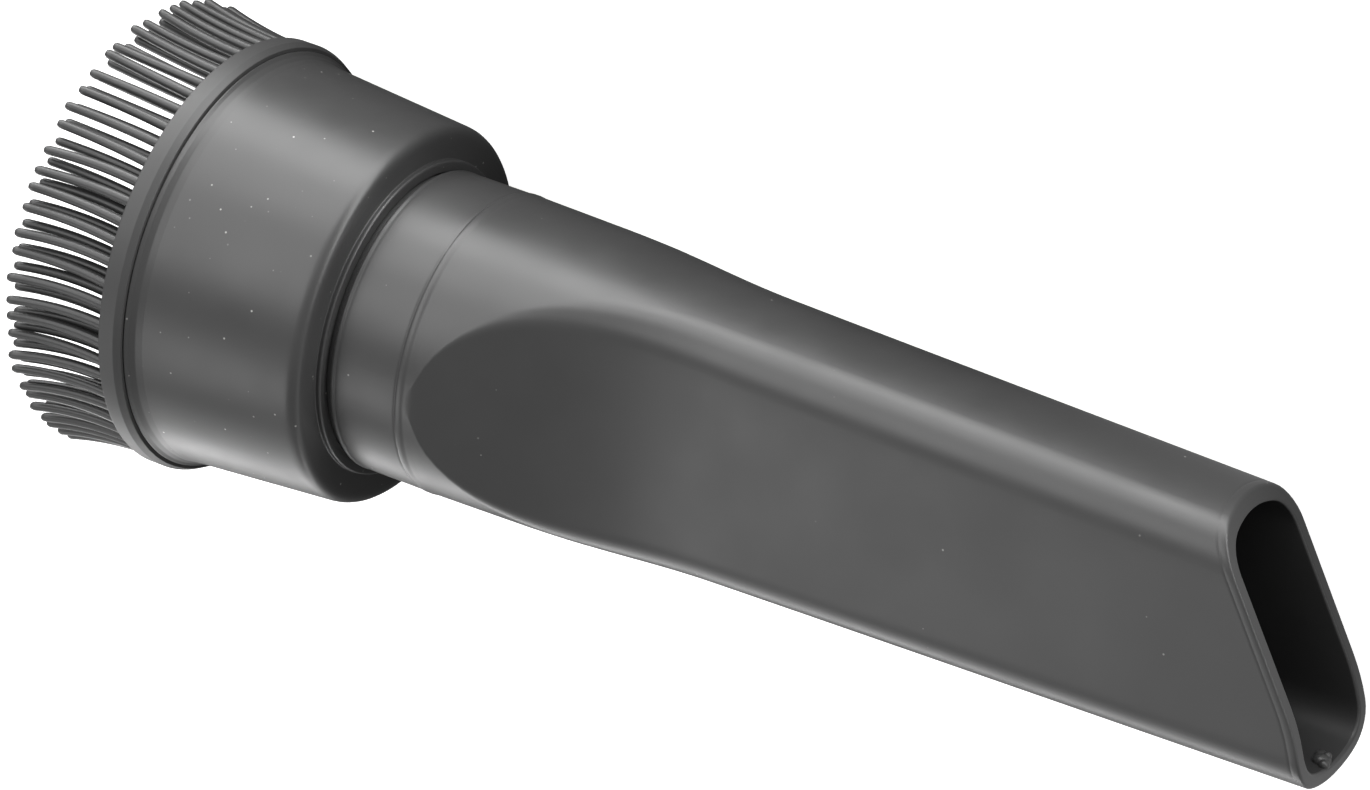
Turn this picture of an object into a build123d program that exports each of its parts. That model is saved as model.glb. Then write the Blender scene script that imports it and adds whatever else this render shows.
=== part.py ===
"""Vacuum crevice tool with a slide-on dusting brush, lying as it comes to rest.

The tool is laid out along its own axis: x runs from the mouth of the wand socket to the slanted
tip, y runs across the blade and z through its thickness. That axis is pitched and rolled a
little, so that the rim of the brush and the lower edge of the slanted mouth both touch one
level surface. The origin is the centre of the wand socket's mouth.
"""
from build123d import *
from math import asin, atan, cos, sin, tan
import os

# Wand socket and the sleeve around it
wand_d = 35.0              # the wand that the socket takes
wand_clearance = 0.1       # gap around the wand
socket_depth = 33.0        # how far the wand goes in
neck_wall = 1.8
stop_step = 0.7            # ledge that stops the wand

# Brush head, a collar that slides over the nozzle's sleeve
collar_length = 26.9       # from the socket's mouth to the collar's end face
collar_end_r = 24.55
collar_taper = 1.75        # how much wider the collar is at its flange
collar_wall = 1.9
collar_edge_r = 1.3        # rounded edge of the end face
hub_drop = 0.5             # hub's bore is this much smaller than the neck
hub_clearance = 0.1        # gap between nozzle sleeve and hub
hub_wall = 1.6             # inner sleeve of the brush head
lip_proud = 0.7            # hub's lip in front of the end face
lip_wall = 1.5
web_thickness = 2.2        # front wall between hub and shell
flange_overhang = 1.3      # flange stands out from the shell
flange_thickness = 0.6
flange_cove = 0.5          # cove from the flange down to the shell
detent_height = 0.3        # bead that holds the brush head on the sleeve
detent_width = 1.8
detent_x = 14.0

# Soft band with two staggered rows of bristles
rim_overhang = 0.5         # rim stands out from the flange, with a bevel between
rim_width = 2.2
band_width = 3.1
band_ledge = 0.5           # band reaches this far inside the shell
tongue_inset = 1.0         # tongue of the brush head, in from the shell's inner wall
tongue_wall = 1.0
tongue_height = 1.3
bristles_per_row = 64
bristle_length = 13.7
bristle_root_d = 0.95
bristle_tip_d = 0.6
bristle_sink = 0.5         # root buried in the band
bristle_flare = 0.5        # tips stand out a little further than the roots
outer_row_inset = 1.15     # from the rim's edge to the outer row
row_gap = 1.5

# Neck of the nozzle
groove_width = 0.75        # open groove between the hub's lip and the neck's shoulder
shoulder_chamfer = 0.3
line_x = 38.75             # fine moulded line where the neck ends
line_height = 0.12
line_ramp = 1.0

# Blade of the nozzle
waist_start_x = 54.0       # round body starts to narrow
waist_start_drop = 0.3     # by then it is this much slimmer than the neck
waist_end_x = 77.0
waist_drop = 1.55
tip_r = 15.9               # body radius at the middle of the mouth
mouth_x = 150.9            # middle of the slanted mouth
mouth_slant = 0.6          # length lost per mm across the blade
mouth_round_y = 4.0        # the long end is rounded from here outwards
mouth_round_drop = 4.2     # how far the rounded end stays behind the straight cut
facet_start_x = 39.9       # where the flat face breaks out of the round body
facet_run_x = 74.9         # where its hollow run-out ends
facet_root_z = 9.6         # half thickness at the end of the run-out
facet_tip_z = 8.9          # half thickness at the mouth
blade_wall = 1.85
facet_edge_r = 4.0         # rounding between the flat faces and the round sides

# Working sizes that follow from those above
bore_r = wand_d / 2 + wand_clearance
neck_r = bore_r + neck_wall
hub_bore_r = neck_r - hub_drop
sleeve_r = hub_bore_r - hub_clearance
hub_r = hub_bore_r + hub_wall
lip_r = hub_bore_r + lip_wall
lip_x = collar_length + lip_proud
shoulder_x = lip_x + groove_width
collar_root_r = collar_end_r + collar_taper
shell_inner_r = collar_root_r - collar_wall
flange_r = collar_root_r + flange_overhang
flange_x = band_width + flange_thickness
shell_x = flange_x + flange_overhang - flange_cove
rim_r = flange_r + rim_overhang
tongue_r = shell_inner_r + tongue_inset + tongue_wall
tongue_x = band_width - tongue_height
outer_row_r = rim_r - outer_row_inset
waist_start_r = neck_r - waist_start_drop
waist_end_r = neck_r - waist_drop
body_slope = (waist_end_r - tip_r) / (mouth_x - waist_end_x)
facet_slope = (facet_root_z - facet_tip_z) / (mouth_x - facet_run_x)
far_x = mouth_x + 2 * neck_r
far_y = 2 * neck_r
pick_margin = 1.0          # slack when edges are picked by where they lie

# Attitude at rest: the rim and the mouth's lower edge on one level surface
pitch = atan((rim_r - facet_tip_z) / (mouth_x - rim_width))
roll = -asin(mouth_slant * (tan(pitch) - facet_slope))
tool_x = Vector(cos(pitch), 0, -sin(pitch))
tool_y = Vector(sin(roll) * sin(pitch), cos(roll), sin(roll) * cos(pitch))
tool_z = tool_x.cross(tool_y)
axis = Axis((0, 0, 0), tool_x)
side = Plane(origin=(0, 0, 0), x_dir=tool_x, z_dir=-tool_y)     # local x, z of the tool
top = Plane(origin=(0, 0, 0), x_dir=tool_x, z_dir=tool_z)       # local x, y of the tool
rear = Plane(origin=(0, 0, 0), x_dir=tool_y, z_dir=-tool_x)     # looks out of the socket


def body_outline(inset, start_x, start_r):
    """Closed half outline of the round blade, its skin moved in by inset."""
    with BuildSketch(side) as outline:
        with BuildLine():
            far_r = waist_end_r - inset - body_slope * (far_x - waist_end_x)
            Polyline((start_x, 0), (start_x, start_r), (waist_start_x, waist_start_r - inset),
                     (waist_end_x, waist_end_r - inset), (far_x, far_r), (far_x, 0), (start_x, 0))
        make_face()
    return outline.sketch


def flats_outline(inset):
    """Side view of what the two flat faces take off, moved in by inset."""
    root_z = facet_root_z - inset
    far_z = root_z - facet_slope * (far_x - facet_run_x)
    start_z = neck_r - inset
    steep = (facet_start_x - neck_r, start_z + neck_r)
    with BuildSketch(side) as outline:
        with BuildLine():
            TangentArc((facet_run_x, root_z), (facet_start_x, start_z), tangent=(-1, facet_slope))
            Polyline((facet_start_x, start_z), steep, (far_x, steep[1]), (far_x, far_z),
                     (facet_run_x, root_z))
        make_face()
        mirror(about=Plane.XZ)
    return outline.sketch


# Air duct of the nozzle: wand socket, stop ledge and the flattened passage to the mouth
with BuildPart() as duct:
    revolve(body_outline(blade_wall, socket_depth, bore_r - stop_step), axis)
    extrude(flats_outline(blade_wall), amount=far_y, both=True, mode=Mode.SUBTRACT)
    with BuildSketch(side):
        Rectangle(socket_depth, bore_r, align=(Align.MIN, Align.MIN))
    revolve(axis=axis)

# Nozzle: sleeve, neck and blade in one hollow moulding
with BuildPart() as nozzle:
    revolve(body_outline(0, shoulder_x, neck_r), axis)
    extrude(flats_outline(0), amount=far_y, both=True, mode=Mode.SUBTRACT)
    facet_edges = nozzle.edges().filter_by(
        lambda e: facet_start_x - pick_margin < (e @ 0.5).dot(tool_x) < far_x - pick_margin
        and abs((e @ 0.5).dot(tool_z)) > pick_margin
        and e.length > neck_wall)
    fillet(facet_edges, facet_edge_r)
    with BuildSketch(top):
        with BuildLine():
            short_end = (mouth_x - mouth_slant * far_y, far_y)
            round_start = (mouth_x + mouth_slant * mouth_round_y, -mouth_round_y)
            long_end = (mouth_x + mouth_slant * tip_r - mouth_round_drop, -tip_r)
            Line(short_end, round_start)
            TangentArc(round_start, long_end, tangent=(mouth_slant, -1))
            Polyline(long_end, (long_end[0], -far_y), (far_x + far_y, -far_y),
                     (far_x + far_y, far_y), short_end)
        make_face()
    extrude(amount=far_y, both=True, mode=Mode.SUBTRACT)
    with BuildSketch(side):
        with BuildLine():
            bead_start = detent_x - detent_width / 2
            bead_end = detent_x + detent_width / 2
            bead_flat = detent_width / 2 - detent_height
            Polyline((0, 0), (0, sleeve_r), (bead_start, sleeve_r),
                     (detent_x - bead_flat, sleeve_r + detent_height),
                     (detent_x + bead_flat, sleeve_r + detent_height), (bead_end, sleeve_r),
                     (shoulder_x, sleeve_r), (shoulder_x, neck_r - shoulder_chamfer),
                     (shoulder_x + shoulder_chamfer, neck_r), (line_x - line_ramp, neck_r),
                     (line_x, neck_r + line_height), (line_x, 0), (0, 0))
        make_face()
    revolve(axis=axis)
    add(duct.part, mode=Mode.SUBTRACT)
nozzle.part.label = "crevice_nozzle"

# Brush head: shell, front web and hub, open towards the bristles
with BuildPart() as brush:
    with BuildSketch(side) as shell_outline:
        with BuildLine():
            shell_slope = collar_taper / (collar_length - shell_x)
            web_x = collar_length - web_thickness
            web_r = collar_end_r + shell_slope * web_thickness - collar_wall
            Polyline((band_width, shell_inner_r), (band_width, tongue_r - tongue_wall),
                     (tongue_x, tongue_r - tongue_wall), (tongue_x, tongue_r),
                     (band_width, tongue_r), (band_width, flange_r), (flange_x, flange_r),
                     (shell_x - flange_cove, collar_root_r + flange_cove),
                     (shell_x, collar_root_r), (collar_length, collar_end_r),
                     (collar_length, lip_r), (lip_x, lip_r), (lip_x, hub_bore_r),
                     (bead_end + hub_clearance, hub_bore_r),
                     (detent_x + bead_flat + hub_clearance, hub_bore_r + detent_height),
                     (detent_x - bead_flat - hub_clearance, hub_bore_r + detent_height),
                     (bead_start - hub_clearance, hub_bore_r), (band_width, hub_bore_r),
                     (band_width, hub_r), (web_x, hub_r), (web_x, web_r),
                     (band_width, shell_inner_r))
        make_face()
        end_corner = shell_outline.vertices().group_by(Axis.X)[-2].sort_by(Axis.Y)[-1]
        chamfer(end_corner, collar_edge_r)
    revolve(axis=axis)
brush.part.label = "brush_body"

# One bristle, standing on its root with a round-off flat tip
with BuildPart() as bristle:
    with BuildSketch(Plane.XY.offset(-bristle_sink)):
        RegularPolygon(bristle_root_d / 2, 6)
    with BuildSketch(Plane.XY.offset(bristle_length)):
        with Locations((bristle_flare, 0)):
            RegularPolygon(bristle_tip_d / 2, 6)
    loft()

# Soft band around the tongue of the brush head, with its bristles
with BuildPart(rear) as ring:
    with BuildSketch(side):
        with BuildLine():
            Polyline((0, shell_inner_r - band_ledge), (band_width, shell_inner_r - band_ledge),
                     (band_width, tongue_r - tongue_wall), (tongue_x, tongue_r - tongue_wall),
                     (tongue_x, tongue_r), (band_width, tongue_r), (band_width, flange_r),
                     (rim_width, rim_r), (0, rim_r), (0, shell_inner_r - band_ledge))
        make_face()
    revolve(axis=axis)
    with PolarLocations(outer_row_r, bristles_per_row):
        add(bristle.part)
    with PolarLocations(outer_row_r - row_gap, bristles_per_row, start_angle=180 / bristles_per_row):
        add(bristle.part)
ring.part.label = "bristle_ring"

os.makedirs("parts", exist_ok=True)
export_step(nozzle.part, "parts/crevice_nozzle.step")
export_step(brush.part, "parts/brush_body.step")
export_step(ring.part, "parts/bristle_ring.step")
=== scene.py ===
"""Looks of a vacuum crevice tool with a slide-on dusting brush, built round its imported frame.

Lengths in the tool's classes are millimetres along its own axes (x from the wand socket's mouth
to the slanted tip, y across the blade, z through its thickness), and those of the studio metres.
Meshes are written in metres in the row frame, where the tool lies on the rim of its brush and the
lower edge of its mouth.
"""

import logging
from collections.abc import Sequence
from dataclasses import dataclass
from enum import Enum
from math import asin, atan, atan2, cos, exp, hypot, pi, radians, sin, sqrt, tan

import bmesh
import bpy
from mathutils import Matrix, Quaternion, Vector

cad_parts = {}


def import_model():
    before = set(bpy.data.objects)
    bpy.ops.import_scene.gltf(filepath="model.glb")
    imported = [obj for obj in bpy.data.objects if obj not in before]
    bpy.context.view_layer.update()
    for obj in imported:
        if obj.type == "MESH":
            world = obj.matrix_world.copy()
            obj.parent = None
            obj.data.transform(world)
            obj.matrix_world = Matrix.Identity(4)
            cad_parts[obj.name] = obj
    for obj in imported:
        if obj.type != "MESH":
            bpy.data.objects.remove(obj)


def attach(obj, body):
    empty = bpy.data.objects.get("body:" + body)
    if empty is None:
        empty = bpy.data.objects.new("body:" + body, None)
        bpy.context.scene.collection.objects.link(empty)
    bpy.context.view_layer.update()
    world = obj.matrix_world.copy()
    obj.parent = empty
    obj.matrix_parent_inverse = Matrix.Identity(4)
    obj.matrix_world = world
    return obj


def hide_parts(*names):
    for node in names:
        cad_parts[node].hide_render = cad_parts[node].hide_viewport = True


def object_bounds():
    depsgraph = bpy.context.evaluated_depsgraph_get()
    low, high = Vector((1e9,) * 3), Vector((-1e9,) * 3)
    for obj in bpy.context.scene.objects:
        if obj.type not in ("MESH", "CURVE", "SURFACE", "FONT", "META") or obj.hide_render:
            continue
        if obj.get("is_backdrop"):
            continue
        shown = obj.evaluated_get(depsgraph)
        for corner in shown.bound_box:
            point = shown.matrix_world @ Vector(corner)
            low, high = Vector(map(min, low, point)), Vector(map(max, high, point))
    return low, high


LOG = logging.getLogger("crevice_tool")
MM = 0.001
WELD = 0.0005 * MM                  # points closer than this become one
PHOTO_WIDTH_PX = 1370


class Ray(Enum):
    """Kinds of ray that see a surface as plain white background."""

    CAMERA = "Is Camera Ray"
    GLOSSY = "Is Glossy Ray"
    TRANSMISSION = "Is Transmission Ray"


def srgb(code: str) -> tuple[float, float, float, float]:
    """Turn an sRGB hex colour into linear RGBA.

    Args:
        code: Six hex digits, such as "3a3a3c".

    Returns:
        Linear red, green, blue and an alpha of 1.
    """
    values = [int(code[i:i + 2], 16) / 255 for i in (0, 2, 4)]
    linear = [v / 12.92 if v <= 0.04045 else ((v + 0.055) / 1.055) ** 2.4 for v in values]
    return (*linear, 1.0)


def add_node(tree: bpy.types.NodeTree, kind: str, inputs: dict | None = None,
             **settings: object) -> bpy.types.Node:
    """Add one node with its settings, input values and links.

    Args:
        tree: The tree that gets the node.
        kind: Blender's name of the node type.
        inputs: Input name or number to a value, or to an output socket to link from.
        **settings: Attributes of the node.

    Returns:
        The new node.
    """
    node = tree.nodes.new(kind)
    for name, value in settings.items():
        setattr(node, name, value)
    for name, value in (inputs or {}).items():
        if isinstance(value, bpy.types.NodeSocket):
            tree.links.new(value, node.inputs[name])
        else:
            node.inputs[name].default_value = value
    return node


def smoothstep(value: float) -> float:
    """Ease a value between 0 and 1, level at both ends."""
    value = min(1.0, max(0.0, value))
    return value * value * (3 - 2 * value)


@dataclass(frozen=True)
class Attitude:
    """How the tool lies in the row frame.

    Attributes:
        pitch: Dip of the tool's axis below +X, in radians.
        roll: Turn about the tool's own axis, in radians.
    """

    pitch: float
    roll: float

    @property
    def matrix(self) -> Matrix:
        """Row-frame axes of the tool as the columns of a 3 by 3 matrix."""
        return Matrix.Rotation(self.pitch, 3, "Y") @ Matrix.Rotation(self.roll, 3, "X")

    def place(self, x: float, y: float, z: float) -> Vector:
        """Row-frame point in metres of a tool point in millimetres."""
        return self.matrix @ Vector((x, y, z)) * MM


@dataclass(frozen=True)
class ToolSizes:
    """Sizes that the visual pieces share with the solids, in millimetres.

    Only the mouth's long end differs: its rounding is 0.5 mm shallower than in the solids.
    """

    bore_r: float = 17.6
    stop_step: float = 0.7
    socket_depth: float = 33.0
    neck_wall: float = 1.8
    groove_width: float = 0.75      # open groove between the hub's lip and the neck's shoulder
    line_x: float = 38.75
    hub_drop: float = 0.5           # hub's bore is this much smaller than the neck
    hub_clearance: float = 0.1
    hub_wall: float = 1.6
    lip_wall: float = 1.5
    lip_proud: float = 0.7
    collar_length: float = 26.9
    collar_end_r: float = 24.55
    collar_taper: float = 1.75
    collar_wall: float = 1.9
    web_thickness: float = 2.2
    flange_overhang: float = 1.3
    rim_overhang: float = 0.5
    rim_width: float = 2.2
    band_width: float = 3.1
    band_ledge: float = 0.5
    outer_row_inset: float = 1.15   # from the rim's edge to the outer row of bristles
    waist_start_x: float = 54.0
    waist_start_drop: float = 0.3
    waist_end_x: float = 77.0
    waist_drop: float = 1.55
    tip_r: float = 15.9
    facet_start_x: float = 39.9
    facet_run_x: float = 74.9
    facet_root_z: float = 9.6
    facet_tip_z: float = 8.9
    blade_wall: float = 1.85
    mouth_x: float = 150.9
    mouth_slant: float = 0.6
    mouth_round_y: float = 4.0
    mouth_round_drop: float = 3.7

    @property
    def neck_r(self) -> float:
        """Radius of the round neck."""
        return self.bore_r + self.neck_wall

    @property
    def hub_bore_r(self) -> float:
        """Radius of the hub's bore."""
        return self.neck_r - self.hub_drop

    @property
    def sleeve_r(self) -> float:
        """Radius of the sleeve inside the hub."""
        return self.hub_bore_r - self.hub_clearance

    @property
    def hub_r(self) -> float:
        """Outer radius of the hub behind the web."""
        return self.hub_bore_r + self.hub_wall

    @property
    def lip_r(self) -> float:
        """Outer radius of the hub's lip."""
        return self.hub_bore_r + self.lip_wall

    @property
    def lip_x(self) -> float:
        """Where the hub's lip ends."""
        return self.collar_length + self.lip_proud

    @property
    def shoulder_x(self) -> float:
        """Where the neck's shoulder stands."""
        return self.lip_x + self.groove_width

    @property
    def collar_root_r(self) -> float:
        """Radius of the collar's shell at the flange."""
        return self.collar_end_r + self.collar_taper

    @property
    def shell_inner_r(self) -> float:
        """Inner radius of the collar's shell at the flange."""
        return self.collar_root_r - self.collar_wall

    @property
    def flange_r(self) -> float:
        """Radius of the collar's flange."""
        return self.collar_root_r + self.flange_overhang

    @property
    def rim_r(self) -> float:
        """Radius of the soft band's rim."""
        return self.flange_r + self.rim_overhang

    @property
    def band_inner_r(self) -> float:
        """Inner radius of the soft band."""
        return self.shell_inner_r - self.band_ledge

    @property
    def outer_row_r(self) -> float:
        """Distance of the outer row's roots from the axis."""
        return self.rim_r - self.outer_row_inset

    @property
    def waist_start_r(self) -> float:
        """Radius of the round body where the waist starts."""
        return self.neck_r - self.waist_start_drop

    @property
    def waist_end_r(self) -> float:
        """Radius of the round body where the waist ends."""
        return self.neck_r - self.waist_drop

    @property
    def facet_slope(self) -> float:
        """Thickness that the flat face loses per millimetre along the blade."""
        return (self.facet_root_z - self.facet_tip_z) / (self.mouth_x - self.facet_run_x)

    @property
    def attitude(self) -> Attitude:
        """Rest attitude, with the rim and the mouth's lower edge on one level surface."""
        pitch = atan((self.rim_r - self.facet_tip_z) / (self.mouth_x - self.rim_width))
        return Attitude(pitch, -asin(self.mouth_slant * (tan(pitch) - self.facet_slope)))


@dataclass(frozen=True)
class Corner:
    """Corner of a turned outline.

    Attributes:
        x: Place along the tool's axis.
        r: Distance from the axis.
        round: Radius of its rounding.
    """

    x: float
    r: float
    round: float = 0.12


def rounded_outline(corners: Sequence[Corner], steps: int = 5) -> list[tuple[float, float]]:
    """Round the corners of a closed outline, with a support point on each side of every one.

    Args:
        corners: The outline's corners in order.
        steps: Points that each rounding takes.

    Returns:
        Points (x, r) of the rounded outline in order.
    """
    side_share = 0.45       # most of a side that one rounding may take
    held_share = 0.48       # the same for a rounding with its support point
    least_hold = 0.001
    points = []
    for i, corner in enumerate(corners):
        following = corners[(i + 1) % len(corners)]
        here = Vector((corner.x, corner.r))
        before = Vector((corners[i - 1].x, corners[i - 1].r)) - here
        after = Vector((following.x, following.r)) - here
        u, v = before.normalized(), after.normalized()
        shorter = min(before.length, after.length)
        reach = min(corner.round / max(tan(before.angle(after) / 2), 1e-6), side_share * shorter)
        hold = max(min(0.35 * reach + 0.02, held_share * shorter - reach), least_hold)
        points.append(here + u * (reach + hold))
        for k in range(steps + 1):
            t = k / steps
            points.append(here + u * reach * (1 - t) ** 2 + v * reach * t ** 2)
        points.append(here + v * (reach + hold))
    return [(p.x, p.y) for p in points]


def closed_skin(name: str, rings: Sequence[Sequence[Vector]],
                inner: range = range(0)) -> bpy.types.Object:
    """Join rings of points into one smooth skin that closes on itself both ways.

    Args:
        name: The piece's name.
        rings: Rings with the same number of points, in order around the section.
        inner: Rings after which the skin takes the second material.

    Returns:
        The new object, at the origin, with its faces pointing outwards.
    """
    form = bmesh.new()
    rows = [[form.verts.new(point) for point in ring] for ring in rings]
    count = len(rows[0])
    for i, row in enumerate(rows):
        following = rows[(i + 1) % len(rows)]
        for j in range(count):
            face = form.faces.new((row[j], row[(j + 1) % count], following[(j + 1) % count],
                                   following[j]))
            face.smooth = True
            face.material_index = int(i in inner)
    bmesh.ops.remove_doubles(form, verts=form.verts, dist=WELD)
    bmesh.ops.recalc_face_normals(form, faces=form.faces)
    mesh = bpy.data.meshes.new(name)
    form.to_mesh(mesh)
    form.free()
    piece = bpy.data.objects.new(name, mesh)
    bpy.context.scene.collection.objects.link(piece)
    return piece


def turned_skin(name: str, attitude: Attitude, outline: Sequence[tuple[float, float]],
                segments: int) -> bpy.types.Object:
    """Turn an outline round the tool's axis.

    Args:
        name: The piece's name.
        attitude: Where the axis lies.
        outline: Closed outline of (x, r) points.
        segments: Steps round the axis.

    Returns:
        The new object.
    """
    turns = [2 * pi * k / segments for k in range(segments)]
    rings = [[attitude.place(x, r * sin(a), r * cos(a)) for a in turns] for x, r in outline]
    return closed_skin(name, rings)


@dataclass(frozen=True)
class MouldedPolypropylene:
    """Charcoal polypropylene, injection moulded against a finely spark-eroded tool.

    It gives the eye a soft, broad highlight, a faint grain, cloudy patches where hands have
    polished it, and a few pale specks and hairs of dust.
    """

    name: str
    colour: str = "343434"
    worn_colour: str = "3a3a3a"
    roughness: float = 0.38
    roughness_swing: float = 0.045
    grain_mm: float = 0.30          # spark-eroded grain, drawn a little coarser so that it shows
    grain_depth_mm: float = 0.010
    cloud_mm: float = 14.0
    speck_gap_mm: float = 1.6
    speck_mm: float = 0.16
    clean_share: float = 0.5        # share of the places that hold no speck
    dust: float = 0.65              # how far the dust covers the plastic
    dust_colour: str = "c9c8c4"
    dust_lay: tuple[float, float, float] = (0.4, 0.9, 0.3)      # turn of its pattern, in radians
    hair_gap: float = 2.4           # times as far apart as specks
    hair_width: float = 0.7         # times as wide as specks
    hair_squeeze: float = 0.13      # squeeze of the pattern that draws a speck out into a hair

    def build(self) -> bpy.types.Material:
        """Build the material.

        Returns:
            A node material that reads Object coordinates only.
        """
        material = bpy.data.materials.new(self.name)
        material.use_nodes = True
        tree = material.node_tree
        tree.nodes.clear()
        coords = add_node(tree, "ShaderNodeTexCoord").outputs["Object"]
        grain = add_node(tree, "ShaderNodeTexNoise",
                         {"Vector": coords, "Scale": 1 / (self.grain_mm * MM), "Detail": 2.0,
                          "Roughness": 0.55})
        cloud = add_node(tree, "ShaderNodeTexNoise",
                         {"Vector": coords, "Scale": 1 / (self.cloud_mm * MM), "Detail": 4.0,
                          "Roughness": 0.6})
        spread = add_node(tree, "ShaderNodeMapRange",
                          {"Value": cloud.outputs["Fac"], "From Min": 0.3, "From Max": 0.7,
                           "To Min": self.roughness - self.roughness_swing,
                           "To Max": self.roughness + self.roughness_swing})
        tone = add_node(tree, "ShaderNodeMix", {"Factor": cloud.outputs["Fac"], "A": srgb(self.colour),
                                                "B": srgb(self.worn_colour)}, data_type="RGBA")
        specks = self.specks(tree, coords, (1.0, 1.0, 1.0), self.speck_gap_mm,
                             self.speck_mm, self.clean_share)
        hairs = self.specks(tree, coords, (1.0, self.hair_squeeze, 1.0),
                            self.hair_gap * self.speck_gap_mm, self.hair_width * self.speck_mm,
                            (1 + self.clean_share) / 2)
        dust = add_node(tree, "ShaderNodeMath", {0: specks, 1: hairs}, operation="MAXIMUM")
        amount = add_node(tree, "ShaderNodeMath", {0: dust.outputs[0], 1: self.dust},
                          operation="MULTIPLY")
        dusty = add_node(tree, "ShaderNodeMix",
                         {"Factor": amount.outputs[0], "A": tone.outputs["Result"],
                          "B": srgb(self.dust_colour)}, data_type="RGBA")
        bump = add_node(tree, "ShaderNodeBump", {"Height": grain.outputs["Fac"], "Strength": 0.35,
                                                 "Distance": self.grain_depth_mm * MM})
        shader = add_node(tree, "ShaderNodeBsdfPrincipled",
                          {"Base Color": dusty.outputs["Result"], "Roughness": spread.outputs["Result"],
                           "IOR": 1.49, "Normal": bump.outputs["Normal"]})
        add_node(tree, "ShaderNodeOutputMaterial", {"Surface": shader.outputs["BSDF"]})
        return material

    def specks(self, tree: bpy.types.NodeTree, coords: bpy.types.NodeSocket,
               stretch: tuple[float, float, float], gap_mm: float, size_mm: float,
               rarity: float) -> bpy.types.NodeSocket:
        """Scatter specks or, stretched one way, hairs.

        Args:
            tree: The material's tree.
            coords: Object coordinates.
            stretch: How much each axis is squeezed before the pattern is read.
            gap_mm: Distance between neighbouring places that may hold one.
            size_mm: Radius of one.
            rarity: Share of the places that stay clean.

        Returns:
            A mask, 1 on the dust.
        """
        place = add_node(tree, "ShaderNodeMapping", {"Vector": coords, "Scale": stretch,
                                                     "Rotation": self.dust_lay})
        cell = add_node(tree, "ShaderNodeTexVoronoi", {"Vector": place.outputs["Vector"],
                                                       "Scale": 1 / (gap_mm * MM)})
        dot = add_node(tree, "ShaderNodeMapRange",
                       {"Value": cell.outputs["Distance"], "From Min": 0.5 * size_mm / gap_mm,
                        "From Max": size_mm / gap_mm, "To Min": 1.0, "To Max": 0.0})
        chosen = add_node(tree, "ShaderNodeSeparateColor", {"Color": cell.outputs["Color"]})
        rare = add_node(tree, "ShaderNodeMath", {0: chosen.outputs["Red"], 1: rarity},
                        operation="GREATER_THAN")
        shown = add_node(tree, "ShaderNodeMath", {0: dot.outputs["Result"], 1: rare.outputs[0]},
                         operation="MULTIPLY")
        return add_node(tree, "ShaderNodeMath", {0: shown.outputs[0], 1: chosen.outputs["Green"]},
                        operation="MULTIPLY").outputs[0]


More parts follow.
